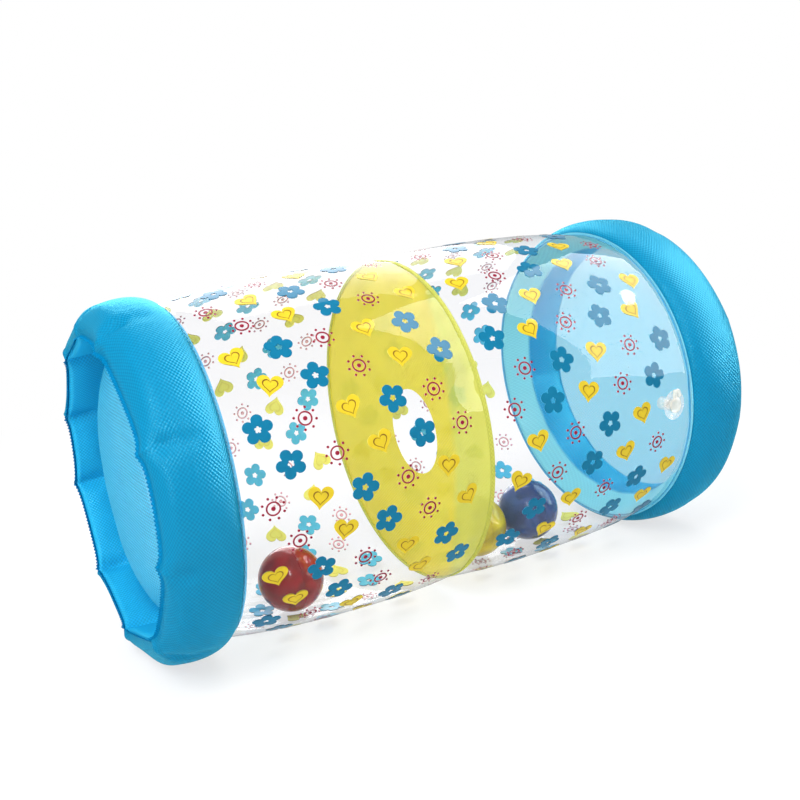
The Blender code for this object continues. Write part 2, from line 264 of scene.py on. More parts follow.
def wrapped_film(name, side, columns, rows, place, length, materials, flat=False):
    """A film round the axis: place(turn, share) gives x, radius and angle on the right side.

    Its emboss follows the wrap, or lies straight across a flat disc.
    """
    sign = SIDES[side]
    points = []
    for row in range(rows + 1):
        for column in range(columns):
            x, radius, turn = place(2 * math.pi * column / columns, row / rows)
            points.append(on_axis(sign * x, radius, turn))
    faces = []
    spots = []
    for row in range(rows):
        for column in range(columns):
            corners = [(row, column), (row, column + 1), (row + 1, column + 1), (row + 1, column)]
            if sign < 0:
                corners.reverse()
            face = [r * columns + c % columns for r, c in corners]
            faces.append(face)
            if flat:
                spots += [(points[corner].y, points[corner].z) for corner in face]
            else:
                spots += [(2 * math.pi * WAIST_RADIUS * c / columns, length * r / rows) for r, c in corners]
    mesh = bpy.data.meshes.new(name)
    mesh.from_pydata(points, [], faces)
    layer = mesh.uv_layers.new(name="film")
    layer.data.foreach_set("uv", [value for spot in spots for value in spot])
    return link(name, mesh, materials)


# Materials

def new_material(name):
    material = bpy.data.materials.new(name)
    material.use_nodes = True
    material.node_tree.nodes.clear()
    return material, material.node_tree


def add_node(tree, kind, values=None, **settings):
    node = tree.nodes.new(kind)
    for key, value in settings.items():
        setattr(node, key, value)
    for socket, value in (values or {}).items():
        node.inputs[socket].default_value = value
    return node


def join(tree, source, target, source_socket=0, target_socket=0):
    tree.links.new(source.outputs[source_socket], target.inputs[target_socket])


def math_node(tree, operation, first, second=None, third=None):
    """A Math node whose inputs are sockets or numbers."""
    node = add_node(tree, "ShaderNodeMath", operation=operation)
    for index, source in enumerate((first, second, third)):
        if source is None:
            continue
        if isinstance(source, (int, float)):
            node.inputs[index].default_value = source
        else:
            tree.links.new(source, node.inputs[index])
    return node.outputs[0]


def colour_mix(tree, factor, first, second):
    """A mix of two colours, each of them a socket or a tuple of three numbers."""
    node = add_node(tree, "ShaderNodeMix", data_type="RGBA")
    tree.links.new(factor, node.inputs["Factor"])
    for socket, source in (("A", first), ("B", second)):
        if isinstance(source, tuple):
            node.inputs[socket].default_value = source + (1.0,)
        else:
            tree.links.new(source, node.inputs[socket])
    return node.outputs["Result"]


def scaled(colour, factor):
    return tuple(min(1.0, factor * value) for value in colour)


def noise_spots(tree, scale, detail, distortion=0.0):
    spots = add_node(tree, "ShaderNodeTexCoord")
    cloud = add_node(tree, "ShaderNodeTexNoise", {"Scale": scale, "Detail": detail, "Distortion": distortion})
    join(tree, spots, cloud, "Object", "Vector")
    return cloud.outputs["Fac"]


def gloss_share(tree, least, most, normal=None):
    """The share of light that a thin film reflects: most at a grazing angle, the same from both sides."""
    facing = add_node(tree, "ShaderNodeLayerWeight", {"Blend": 0.5})
    if normal:
        tree.links.new(normal, facing.inputs["Normal"])
    grazing = math_node(tree, "POWER", facing.outputs["Facing"], 5.0)
    return math_node(tree, "MULTIPLY_ADD", grazing, most - least, least)


def finish_surface(tree, body, gloss, roughness, normal=None, tint=(1.0, 1.0, 1.0)):
    """Adds the gloss over a body shader, as its least and most share, and links the result to the output."""
    shine = add_node(tree, "ShaderNodeBsdfGlossy", {"Roughness": roughness, "Color": tint + (1.0,)})
    if normal:
        tree.links.new(normal, shine.inputs["Normal"])
    surface = add_node(tree, "ShaderNodeMixShader")
    tree.links.new(gloss_share(tree, *gloss, normal), surface.inputs[0])
    join(tree, body, surface, 0, 1)
    join(tree, shine, surface, 0, 2)
    join(tree, surface, add_node(tree, "ShaderNodeOutputMaterial"))


def film_bump(tree, depth, ribs):
    """Staggered embossed dots with a share of ribs, read from the film's own layer of places in metres."""
    spots = add_node(tree, "ShaderNodeUVMap", uv_map="film")
    parts = add_node(tree, "ShaderNodeSeparateXYZ")
    join(tree, spots, parts)
    round_it = math_node(tree, "MULTIPLY", parts.outputs["X"], 2 * math.pi / EMBOSS_PITCH)
    along_it = math_node(tree, "MULTIPLY", parts.outputs["Y"], 4 * math.pi / EMBOSS_PITCH / math.sqrt(3))
    waves = [math_node(tree, "COSINE", value) for value in (round_it, along_it)]
    dots = math_node(tree, "MULTIPLY", *waves)
    if ribs:
        across_it = math_node(tree, "MULTIPLY", parts.outputs["Y"], 2 * math.pi / RIB_PITCH)
        dots = math_node(tree, "MULTIPLY_ADD", math_node(tree, "COSINE", across_it), ribs, dots)
    relief = add_node(tree, "ShaderNodeBump", {"Strength": 1.0, "Distance": depth})
    tree.links.new(dots, relief.inputs["Height"])
    return relief.outputs["Normal"], dots


def from_axis(tree, centre):
    """Distance from a line along X through a (y, z) place."""
    spots = add_node(tree, "ShaderNodeTexCoord")
    flat = add_node(tree, "ShaderNodeVectorMath", {1: (0, 1, 1)}, operation="MULTIPLY")
    join(tree, spots, flat, "Object")
    away = add_node(tree, "ShaderNodeVectorMath", {1: (0,) + centre}, operation="DISTANCE")
    join(tree, flat, away)
    return away.outputs["Value"]


def past(tree, value, start, end):
    """0 before the start and 1 past the end, with a soft step between."""
    node = add_node(tree, "ShaderNodeMapRange", {"From Min": start, "From Max": end},
                    interpolation_type="SMOOTHSTEP")
    tree.links.new(value, node.inputs["Value"])
    return node.outputs["Result"]


def coloured_film(name, colour, tint, solid, glow, depth, shine=(1.0, 1.0, 1.0), gloss=(0.01, 0.2), zone=None,
                  ribs=0.0):
    """A tinted vinyl film with embossed dots, its colour painted darker in the dimples and lighter on the
    crowns as painted shade and highlight.

    solid is its opaque share, glow the share of that which lets light soak through, shine the colour of
    its gloss and gloss the least and most share of it. A zone is (centre, start, end, colour, solid):
    what the film looks like far from a line along X; on the end walls that zone is painted light, a paler
    rim.
    """
    material, tree = new_material(name)
    normal, dots = film_bump(tree, depth, ribs)
    # Painted shade: the dots lift the colour on their crowns and darken it in the dimples between them.
    lift = math_node(tree, "MULTIPLY_ADD", dots, 0.5, 0.5)
    shade = colour_mix(tree, lift, *(scaled(colour, share) for share in EMBOSS_PAINTED_SHADE))
    share = None
    # In the zone the colour, the opaque share and the glow change; on the end walls this zone is painted
    # light.
    if zone:
        centre, start, end, zone_colour, zone_solid = zone
        inside = past(tree, from_axis(tree, centre), start, end)
        zone_shade = colour_mix(tree, lift, *(scaled(zone_colour, share) for share in ZONE_EMBOSS_PAINTED_SHADE))
        shade = colour_mix(tree, inside, shade, zone_shade)
        share = math_node(tree, "MULTIPLY_ADD", inside, zone_solid - solid, solid)
    broad = noise_spots(tree, 14.0, 2.0)
    shade = colour_mix(tree, math_node(tree, "MULTIPLY", broad, 0.12), shade, scaled(colour, 0.7))
    body = add_node(tree, "ShaderNodeBsdfDiffuse")
    tree.links.new(shade, body.inputs["Color"])
    tree.links.new(normal, body.inputs["Normal"])
    soak = add_node(tree, "ShaderNodeBsdfTranslucent")
    tree.links.new(shade, soak.inputs["Color"])
    tree.links.new(normal, soak.inputs["Normal"])
    soft = add_node(tree, "ShaderNodeMixShader", {0: glow})
    join(tree, body, soft, 0, 1)
    join(tree, soak, soft, 0, 2)
    if zone:
        tree.links.new(math_node(tree, "MULTIPLY_ADD", inside, -0.9 * glow, glow), soft.inputs[0])
    clear = add_node(tree, "ShaderNodeBsdfTransparent", {"Color": tint + (1.0,)})
    film = add_node(tree, "ShaderNodeMixShader", {0: solid})
    if share:
        tree.links.new(share, film.inputs[0])
    join(tree, clear, film, 0, 1)
    join(tree, soft, film, 0, 2)
    finish_surface(tree, film, gloss, 0.24, normal, shine)
    return material


def clear_film(name):
    """Clear vinyl with a faint haze, grey where it is seen edge-on, and a slightly uneven gloss."""
    material, tree = new_material(name)
    uneven = add_node(tree, "ShaderNodeBump", {"Strength": 1.0, "Distance": 0.2 * MM})
    tree.links.new(noise_spots(tree, 14.0, 2.0), uneven.inputs["Height"])
    facing = add_node(tree, "ShaderNodeLayerWeight", {"Blend": 0.5})
    edge = math_node(tree, "POWER", facing.outputs["Facing"], 7.0)
    clear = add_node(tree, "ShaderNodeBsdfTransparent")
    tree.links.new(colour_mix(tree, edge, (0.97, 0.97, 0.98), (0.38, 0.41, 0.44)), clear.inputs["Color"])
    haze = add_node(tree, "ShaderNodeBsdfDiffuse", {"Color": (0.88, 0.90, 0.92, 1.0)})
    body = add_node(tree, "ShaderNodeMixShader", {0: 0.01})
    join(tree, clear, body, 0, 1)
    join(tree, haze, body, 0, 2)
    finish_surface(tree, body, FILM_GLOSS, 0.04, uneven.outputs["Normal"])
    return material


def ink(name, colour):
    """Printing ink with a faint mottle, under the gloss of the film."""
    material, tree = new_material(name)
    shade = colour_mix(tree, noise_spots(tree, 160.0, 3.0), scaled(colour, 0.86), scaled(colour, 1.08))
    body = add_node(tree, "ShaderNodeBsdfDiffuse")
    tree.links.new(shade, body.inputs["Color"])
    finish_surface(tree, body, FILM_GLOSS, 0.06)
    return material


def ball_plastic(name, colour, tint, solid):
    """Glossy see-through plastic, a little streaked inside."""
    material, tree = new_material(name)
    streaks = noise_spots(tree, 55.0, 3.0, 0.6)
    shade = colour_mix(tree, past(tree, streaks, 0.35, 0.65), scaled(colour, 0.6), scaled(colour, 1.15))
    body = add_node(tree, "ShaderNodeBsdfPrincipled", {"Roughness": 0.2, "Specular IOR Level": 0.15})
    tree.links.new(shade, body.inputs["Base Color"])
    clear = add_node(tree, "ShaderNodeBsdfTransparent", {"Color": tint + (1.0,)})
    film = add_node(tree, "ShaderNodeMixShader", {0: solid})
    join(tree, clear, film, 0, 1)
    join(tree, body, film, 0, 2)
    finish_surface(tree, film, (0.018, 0.5), 0.05)
    return material


def bell_metal():
    material, tree = new_material("bell_metal")
    body = add_node(tree, "ShaderNodeBsdfPrincipled", {"Base Color": (0.75, 0.73, 0.7, 1.0), "Metallic": 1.0})
    wear = noise_spots(tree, 300.0, 4.0)
    tree.links.new(math_node(tree, "MULTIPLY_ADD", wear, 0.25, 0.15), body.inputs["Roughness"])
    join(tree, body, add_node(tree, "ShaderNodeOutputMaterial"))
    return material


def valve_vinyl(name, colour, least):
    """Milky soft vinyl; least is its opaque share where it is clearest."""
    material, tree = new_material(name)
    body = add_node(tree, "ShaderNodeBsdfPrincipled", {"Base Color": colour + (1.0,), "Roughness": 0.2})
    cloud = noise_spots(tree, 220.0, 3.0)
    tree.links.new(math_node(tree, "MULTIPLY_ADD", cloud, 0.35, least), body.inputs["Alpha"])
    join(tree, body, add_node(tree, "ShaderNodeOutputMaterial"))
    return material


# Pieces

def add_barrel(side, film, seam):
    """One chamber of the barrel and the weld band at its end."""
    sign = SIDES[side]

    def skin(turn, share):
        x = WAIST_GAP + (END_SEAM_X - WAIST_GAP) * share
        return x, chamber_radius(sign, x, turn), turn

    piece = wrapped_film(side + "_barrel_skin", side, 360, 72, skin, END_SEAM_X, [film])
    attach(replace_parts(piece, side + "_barrel_film"), "roller")

    def band(turn, share):
        x = END_SEAM_X + (share - 1) * SEAM_BAND_WIDTH
        crown = SEAM_BAND_CROWN * math.sin(math.pi * share)
        return x, chamber_radius(sign, x, turn) + crown + SEAM_BAND_LIFT, turn

    piece = wrapped_film(side + "_end_weld_band", side, 360, 6, band, SEAM_BAND_WIDTH, [seam])
    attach(piece, "roller")


def add_partition(film, band):
    """The dished disc with its hole off the centre, and the weld band that joins it to the barrel."""
    def disc(turn, share):
        edge_y = PARTITION_HOLE_SIDE + PARTITION_HOLE_RADIUS * math.cos(turn)
        edge_z = -PARTITION_HOLE_DROP + PARTITION_HOLE_RADIUS * math.sin(turn)
        y = edge_y + (WAIST_RADIUS * math.cos(turn) - edge_y) * share
        z = edge_z + (WAIST_RADIUS * math.sin(turn) - edge_z) * share
        dish = PARTITION_DISH * (1 - smooth((share - 0.1) / 0.9))
        ripple = noise.noise(Vector((math.cos(turn) * 4, math.sin(turn) * 4, share * 2))) * PARTITION_RIPPLE
        return dish + ripple * math.sin(math.pi * share), math.hypot(y, z), math.atan2(z, y)

    piece = wrapped_film("partition_disc", "right", 240, 36, disc, WAIST_RADIUS, [film], flat=True)
    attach(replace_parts(piece, "centre_partition"), "roller")

    section = Outline([(x * MM, WAIST_RADIUS + height * MM) for x, height in WAIST_BAND])
    piece = wrapped_film("waist_weld_band", "right", 360, 12, lambda turn, share: (*section.at(share), turn),
                         section.length, [band])
    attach(piece, "roller")


def add_end_wall(side, film):
    """The domed film, slightly gathered where the wall of the ring's hole is welded to it."""
    def dome(turn, share):
        radius = (BARREL_END_RADIUS + RIM_OVERHANG) * (1 - share * 0.996)
        gather = noise.noise(Vector((math.cos(turn) * 8, math.sin(turn) * 8, 1.0))) * DOME_GATHER
        near_wall = bell_curve(radius - HOLE_WALL_RADIUS, DOME_GATHER_REACH)
        across, upward = radius * math.cos(turn), radius * math.sin(turn)
        uneven = noise.noise(Vector((across, upward, 0.1)) / DOME_WOBBLE_CELL) * DOME_WOBBLE
        pressed = PLUG_DENT * dent(math.hypot(across - PLUG_DENT_SIDE, upward / 1.8), PLUG_DENT_REACH)
        x = END_SEAM_X if radius > BARREL_END_RADIUS else dome_x(radius)
        return x + gather * near_wall + uneven * smooth(share * 4) - pressed, radius, turn

    piece = wrapped_film(side + "_end_dome", side, 240, 72, dome, BARREL_END_RADIUS, [film], flat=True)
    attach(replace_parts(piece, side + "_end_wall"), "roller")


def crest_shift(side, turn, front):
    """How far creases and panels move the front of a ring: along the axis and outward.

    The crest of the left ring is also drawn back and outward on its near side.
    """
    distance, half = crease_near(turn)
    near = max(0.0, -math.cos(turn)) ** 1.5
    cusp = math.exp(-distance / CUSP_WIDTH)
    chord = 1 - math.cos(math.radians(half)) / math.cos(math.radians(half - distance))
    forward = (CREASE_RISE[side] * cusp - CREST_DRAW[side] * near) * front ** 3
    outward = (CREST_SPREAD[side] * near - CHORD_SHARE[side] * chord * CREST_RADIUS) * front ** 2
    return forward, outward, distance / half, bell_curve(distance, FOLD_WIDTH)


def add_ring(side, film, wall, lip):
    sign = SIDES[side]
    seam_x = END_SEAM_X + 0.4 * MM
    seam_radius = BARREL_END_RADIUS + 0.5 * MM
    tread_x = (TREAD_START + TREAD_END) / 2
    start_x = CREST_X - CREST_SEAM_BACK
    outer = Outline(arc((tread_x, seam_radius), (seam_x - tread_x, RING_RADIUS - seam_radius), 0, 90, 24)
                    + arc((tread_x, CREST_RADIUS), (CREST_X - tread_x, RING_RADIUS - CREST_RADIUS), 90, 0, 32)
                    + [(start_x, CREST_SEAM_RADIUS)])
    inner = Outline(arc((start_x - CREST_LIP, CREST_SEAM_RADIUS), (CREST_LIP, -CREST_LIP), 0, 90, 8)
                    + [(dome_x(HOLE_WALL_RADIUS), HOLE_WALL_RADIUS)])

    def outer_skin(turn, share):
        x, radius = outer.at(share)
        front = smooth((x - TREAD_END) / (CREST_X - TREAD_END))
        forward, outward, panel, fold = crest_shift(side, turn, front)
        puff = math.sin(math.pi / 2 * panel) * math.sin(math.pi * front)
        depth = CREASE_DEPTH[side]
        tail = CREASE_TAIL[side] * smooth((share - 0.2) * 4) * (1 - front)
        radius += outward - fold * (depth * front * (1 - 0.5 * front) + tail) + 0.4 * PANEL_PUFF * puff
        radius += wobble(turn, sign * x, 0.4 * MM, 45 * MM) * smooth(share * 5)
        return x + forward + PANEL_PUFF * puff - 0.5 * depth * fold * math.sin(math.pi * front), radius, turn

    def inner_skin(turn, share):
        x, radius = inner.at(share)
        near = 1 - share
        forward, outward, panel, fold = crest_shift(side, turn, 1.0)
        calm = 1 - bell_curve(math.remainder(turn - math.pi, 2 * math.pi), VALVE_FREE_TURN)
        puff = calm * math.sin(math.pi / 2 * panel) * math.sin(math.pi * share ** 0.8)
        pinch = 0.7 * CREASE_DEPTH[side] * fold * math.sin(math.pi * near)
        shift = outward * near ** 1.5 - WALL_PUFF * puff + pinch
        uneven = wobble(turn, sign * x, WALL_WOBBLE, 22 * MM) * smooth(share * 4) * calm
        return x + forward * near ** 2, radius + shift + uneven, turn

    piece = wrapped_film(side + "_ring_outer_skin", side, 720, 72, outer_skin, outer.length, [film])
    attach(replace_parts(piece, side + "_ring_outer_film"), "roller")
    piece = wrapped_film(side + "_ring_inner_skin", side, 720, 48, inner_skin, inner.length, [wall])
    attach(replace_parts(piece, side + "_ring_inner_film"), "roller")

    teeth = round(2 * math.pi * CREST_SEAM_RADIUS / LIP_PITCH)

    def weld_lip(turn, share):
        x, radius, turn = outer_skin(turn, 1.0)
        tooth = LIP_TOOTH * math.cos(teeth * turn) * share
        return x + LIP_HEIGHT * 0.6 * share + tooth, radius - LIP_HEIGHT * 0.5 * share + 0.6 * MM, turn

    piece = wrapped_film(side + "_ring_weld_lip", side, teeth * 6, 3, weld_lip, LIP_HEIGHT, [lip])
    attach(piece, "roller")


def add_ball(colour, plastic, metal):
    """Two half shells that meet in a plane across the roller's axis; the bell inside gets its metal."""
    low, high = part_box(colour + "_ball_right_half")
    centre = Vector((low.x, 0.0, (low.z + high.z) / 2))
    for side, sign in SIDES.items():
        shell = bmesh.new()
        for radius in (BALL_RADIUS, BALL_RADIUS - BALL_WALL):
            made = bmesh.ops.create_uvsphere(shell, u_segments=64, v_segments=32, radius=radius)["verts"]
            if radius < BALL_RADIUS:
                faces = list(dict.fromkeys(face for vert in made for face in vert.link_faces))
                bmesh.ops.reverse_faces(shell, faces=faces)
        parts = shell.verts[:] + shell.edges[:] + shell.faces[:]
        bmesh.ops.bisect_plane(shell, geom=parts, plane_co=(sign * BALL_HALF_GAP, 0, 0),
                               plane_no=(sign, 0, 0), clear_inner=True)
        rim = [edge for edge in shell.edges if edge.is_boundary]
        bmesh.ops.bridge_loops(shell, edges=rim)
        bmesh.ops.translate(shell, vec=centre, verts=shell.verts)
        mesh = bpy.data.meshes.new(colour + "_ball_" + side + "_shell")
        shell.to_mesh(mesh)
        shell.free()
        piece = link(mesh.name, mesh, [plastic])
        mesh.set_sharp_from_angle(angle=math.radians(50))
        node = colour + "_ball_" + side + "_half"
        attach(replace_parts(piece, node), colour + "_ball")
    for node in (colour + "_ball_bell", colour + "_bell_pellet"):
        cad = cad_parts[node]
        cad.data.materials.clear()
        cad.data.materials.append(metal)


# Valves, shaped along the X axis and then turned to face outward

def turned_piece(name, section, place, material, steps=72):
    """A solid turned round X from (x, radius) points, first to last."""
    shape = bmesh.new()
    rings = []
    for x, radius in section:
        if radius == 0.0:
            rings.append([shape.verts.new(place @ Vector((x, 0, 0)))])
            continue
        ring = []
        for i in range(steps):
            turn = 2 * math.pi * i / steps
            spot = Vector((x, radius * math.cos(turn), radius * math.sin(turn)))
            ring.append(shape.verts.new(place @ spot))
        rings.append(ring)
    for first, second in zip(rings, rings[1:]):
        for i in range(steps):
            corners = [first[i % len(first)], first[(i + 1) % len(first)],
                       second[(i + 1) % len(second)], second[i % len(second)]]
            shape.faces.new(list(dict.fromkeys(corners)))
    bmesh.ops.recalc_face_normals(shape, faces=shape.faces)
    mesh = bpy.data.meshes.new(name)
    shape.to_mesh(mesh)
    shape.free()
    piece = link(name, mesh, [material])
    mesh.set_sharp_from_angle(angle=math.radians(55))
    return piece


def pull_tab(name, place, start, end, material):
    """A ribbed tongue with a rounded end, and the strap that curls back from it to the flange."""
    shape = bmesh.new()
    columns = 44
    rows = 8
    grid = []
    for i in range(columns + 1):
        share = i / columns
        reach = start + (end - start) * min(1.0, share * 1.6)
        curl = max(0.0, share * 1.6 - 1.0) / 0.6
        rise = CAP_START + 0.5 * MM + 1.1 * MM * math.sin(math.pi * curl) + 0.8 * MM * smooth(share * 2)
        rise += TAB_RIB * math.cos(share * 60) * (1 - curl)
        sideways = 3.4 * MM * smooth(curl)
        half = TAB_HALF_WIDTH - TAB_TAPER * smooth(curl)
        reach -= 6.0 * MM * smooth(curl) * curl
        grid.append([])
        for j in range(rows + 1):
            across = -half + 2 * half * j / rows
            bow = 0.5 * MM * (1 - (across / half) ** 2)
            grid[-1].append((rise + bow, sideways + across, reach))
    for layer in (0.0, -TAB_THICKNESS):
        made = [[shape.verts.new(place @ Vector((x + layer, y, z))) for x, y, z in line] for line in grid]
        for first, second in zip(made, made[1:]):
            for i in range(rows):
                shape.faces.new((first[i], first[i + 1], second[i + 1], second[i]))
    rim = [edge for edge in shape.edges if edge.is_boundary]
    bmesh.ops.bridge_loops(shape, edges=rim)
    bmesh.ops.recalc_face_normals(shape, faces=shape.faces)
    mesh = bpy.data.meshes.new(name)
    shape.to_mesh(mesh)
    shape.free()
    piece = link(name, mesh, [material])
    mesh.set_sharp_from_angle(angle=math.radians(60))
    return piece


def add_valve(name, outward, stem_vinyl, plug_vinyl):
    flange, bore, stem_length, plug_length = VALVE_SIZES[name]
    wall = bore + STEM_WALL
    low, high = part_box(name + "_stem")
    centre = (low + high) / 2
    surface = centre + outward * ((stem_length - FLANGE_THICKNESS) / 2)
    place = Matrix.Translation(surface) @ outward.to_track_quat("X", "Z").to_matrix().to_4x4()
    collar = [(0.15 * MM, flange - 0.05 * MM), (0.45 * MM, flange), (0.7 * MM, flange - 0.35 * MM),
              (0.62 * MM, flange - 1.2 * MM), (0.62 * MM, wall + 1.5 * MM), (0.95 * MM, wall + 0.9 * MM),
              (0.95 * MM, wall + 0.3 * MM), (0.7 * MM, wall), (0.7 * MM, bore + 0.3 * MM), (0.4 * MM, bore),
              (-stem_length, bore), (-stem_length, wall - 0.3 * MM), (-stem_length + 0.6 * MM, wall),
              (-0.5 * MM, wall), (0.0, wall + 0.5 * MM), (0.0, flange - 0.5 * MM),
              (0.15 * MM, flange - 0.05 * MM)]
    piece = turned_piece(name + "_collar", collar, place, stem_vinyl)
    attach(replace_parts(piece, name + "_stem"), "roller")

    body = name.replace("valve", "plug")
    peg = bore - PLUG_CLEARANCE
    cap = wall + 1.0 * MM
    plug = [(2.6 * MM, 0.0), (2.7 * MM, cap * 0.5), (2.62 * MM, cap * 0.8), (2.2 * MM, cap * 0.97),
            (1.75 * MM, cap), (1.3 * MM, cap * 0.97), (CAP_START, cap * 0.9), (CAP_START, peg + 0.3 * MM),
            (0.7 * MM, peg), (-2.0 * MM, peg), (-2.3 * MM, peg + 0.15 * MM), (-2.6 * MM, peg),
            (1.1 * MM - plug_length + 0.5 * MM, peg), (1.1 * MM - plug_length, peg * 0.7),
            (1.1 * MM - plug_length, 0.0)]
    piece = turned_piece(name + "_cap", plug, place, plug_vinyl)
    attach(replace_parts(piece, name + "_plug"), body)
    piece = pull_tab(name + "_tab", place, cap * 0.55, flange + 1.0 * MM, plug_vinyl)
    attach(piece, body)


# Print: flowers, hearts and dotted rosettes

def heart_point(turn):
    x = 16 * math.sin(turn) ** 3
    y = 13 * math.cos(turn) - 5 * math.cos(2 * turn) - 2 * math.cos(3 * turn) - math.cos(4 * turn)
    return Vector((x, y + 2.0)) / 17.0


def flower_point(turn):
    return Vector((math.sin(turn), math.cos(turn))) * (0.62 + 0.38 * abs(math.cos(2.5 * turn)) ** 0.7)


def circle_point(turn):
    return Vector((math.sin(turn), math.cos(turn)))


def patch(shape, outer, inner, centre=(0.0, 0.0), lift=0.0, steps=40):
    """A flat shape between two scaled copies of its outline, its sizes given in millimetres."""
    return shape, outer * MM, inner * MM, Vector(centre) * MM, lift * MM, steps


DOTS = [(6.6 * math.sin(i * math.pi / 4), 6.6 * math.cos(i * math.pi / 4)) for i in range(8)]
MOTIFS = {
    "flower": {"print_blue": [patch(flower_point, 8.9, 2.1)]},
    "heart": {"print_yellow": [patch(heart_point, 8.2, 0.0)],
              "print_ochre": [patch(heart_point, 5.0, 4.2, lift=0.06)]},
    "rosette": {"print_red": [patch(circle_point, 4.3, 3.4, steps=28),
                              patch(circle_point, 1.3, 0.0, steps=12),
                              *(patch(circle_point, 0.8, 0.0, dot, steps=8) for dot in DOTS)]},
}
MOTIF_ORDER = ("flower", "heart", "rosette")


def motif_places():
    """Half-drop rows round one chamber, with a little turn of each motif's own."""
    chance = random.Random(4)
    rows = round(2 * math.pi * barrel_radius(END_SEAM_X / 2) / (MOTIF_PITCH * math.sqrt(3) / 2) / 2) * 2
    columns = int((END_SEAM_X - 2 * PRINT_EDGE) / MOTIF_PITCH)
    start = (END_SEAM_X - (columns - 0.5) * MOTIF_PITCH) / 2
    for row in range(rows):
        for column in range(columns):
            x = start + (column + 0.5 * (row % 2)) * MOTIF_PITCH
            kind = MOTIF_ORDER[(column + row * 2 + row // 2) % 3]
            yield kind, x, 2 * math.pi * row / rows, math.radians(chance.uniform(-MOTIF_SPIN, MOTIF_SPIN))


def print_point(sign, x, turn, spin, flat, lift, face_out):
    along = flat.x * math.cos(spin) - flat.y * math.sin(spin)
    upward = flat.x * math.sin(spin) + flat.y * math.cos(spin)
    offset = PRINT_OFFSET + lift if face_out else -PRINT_OFFSET - lift
    place = x + along
    angle = turn - upward / barrel_radius(place)
    return on_axis(sign * place, chamber_radius(sign, place, angle) + offset, angle)


def print_patch(points, faces, sign, layout, x, turn, spin, face_out):
    """Adds one patch to a chamber's print, laid on the outer or the inner face of the film."""
    shape, outer, inner, centre, lift, steps = layout
    rings = 4 if outer - inner > 3 * MM else 2
    start = len(points)
    for ring in range(rings + 1):
        scale = outer + (inner - outer) * ring / rings
        if scale == 0.0:
            points.append(print_point(sign, x, turn, spin, centre, lift, face_out))
            continue
        for step in range(steps):
            flat = centre + shape(2 * math.pi * step / steps) * scale
            points.append(print_point(sign, x, turn, spin, flat, lift, face_out))
    for ring in range(rings):
        for step in range(steps):
            after = (step + 1) % steps
            near = start + ring * steps
            far = near + steps
            if ring == rings - 1 and inner == 0.0:
                face = [near + step, near + after, far]
            else:
                face = [near + step, near + after, far + after, far + step]
            faces.append(face if face_out else face[::-1])


def add_print(side, inks):
    sign = SIDES[side]
    layers = {}
    for kind, x, turn, spin in motif_places():
        beside_valve = abs(x - VALVE_X) < VALVE_FREE_LENGTH and abs(turn - math.pi) < VALVE_FREE_TURN
        if side == "right" and beside_valve:
            continue
        for name, patches in MOTIFS[kind].items():
            for face_out in (True, False):
                points, faces = layers.setdefault((name, face_out), ([], []))
                for layout in patches:
                    print_patch(points, faces, sign, layout, x, turn, spin, face_out)
    for (name, face_out), (points, faces) in layers.items():
        label = side + "_" + name + ("" if face_out else "_back")
        mesh = bpy.data.meshes.new(label)
        mesh.from_pydata(points, [], faces)
        piece = link(label, mesh, [inks[name, face_out]])
        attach(piece, "roller")


# Stage, lights and camera

def seen_rays(tree):
    """1 for the rays that see the white studio: camera, glossy and transmission rays."""
    seen = add_node(tree, "ShaderNodeLightPath")
    mirrored = math_node(tree, "MAXIMUM", seen.outputs["Is Glossy Ray"], seen.outputs["Is Transmission Ray"])
    return math_node(tree, "MAXIMUM", seen.outputs["Is Camera Ray"], mirrored)


def from_middle(tree):
    spots = add_node(tree, "ShaderNodeTexCoord")
    length = add_node(tree, "ShaderNodeVectorMath", operation="LENGTH")
    join(tree, spots, length, "Object")
    return length.outputs["Value"]


def add_stage():
    """A white floor that keeps the shadow near the roller, and white beyond it."""
    material, tree = new_material("studio_floor")
    paper = add_node(tree, "ShaderNodeBsdfDiffuse", {"Color": (0.9, 0.9, 0.9, 1.0)})
    glow = add_node(tree, "ShaderNodeEmission", {"Color": (1, 1, 1, 1), "Strength": 1.0})
    both = add_node(tree, "ShaderNodeMixShader")
    away = past(tree, from_middle(tree), *FLOOR_WHITE)
    white = math_node(tree, "MULTIPLY_ADD", away, 1 - FLOOR_GLOW, FLOOR_GLOW)
    tree.links.new(math_node(tree, "MULTIPLY", seen_rays(tree), white), both.inputs[0])
    join(tree, paper, both, 0, 1)
    join(tree, glow, both, 0, 2)
    join(tree, both, add_node(tree, "ShaderNodeOutputMaterial"))
    mesh = bpy.data.meshes.new("studio_floor")
    corners = [(x * FLOOR_REACH, y * FLOOR_REACH, 0) for x, y in ((-1, -1), (1, -1), (1, 1), (-1, 1))]
    mesh.from_pydata(corners, [], [(0, 1, 2, 3)])
    link("studio_floor", mesh, [material])

    world = bpy.data.worlds.new("studio")
    bpy.context.scene.world = world
    world.use_nodes = True
    tree = world.node_tree
    tree.nodes.clear()
    dim = add_node(tree, "ShaderNodeBackground", {"Color": (1, 1, 1, 1), "Strength": WORLD_LIGHT})
    white = add_node(tree, "ShaderNodeBackground", {"Color": (1, 1, 1, 1), "Strength": 1.0})
    both = add_node(tree, "ShaderNodeMixShader")
    tree.links.new(seen_rays(tree), both.inputs[0])
    join(tree, dim, both, 0, 1)
    join(tree, white, both, 0, 2)
    join(tree, both, add_node(tree, "ShaderNodeOutputWorld"))


def direction(azimuth, height):
    """A unit vector from an azimuth, which starts at +Y and turns towards +X, and a height, in degrees."""
    azimuth = math.radians(azimuth)
    height = math.radians(height)
    level = math.cos(height)
    return Vector((math.sin(azimuth) * level, math.cos(azimuth) * level, math.sin(height)))


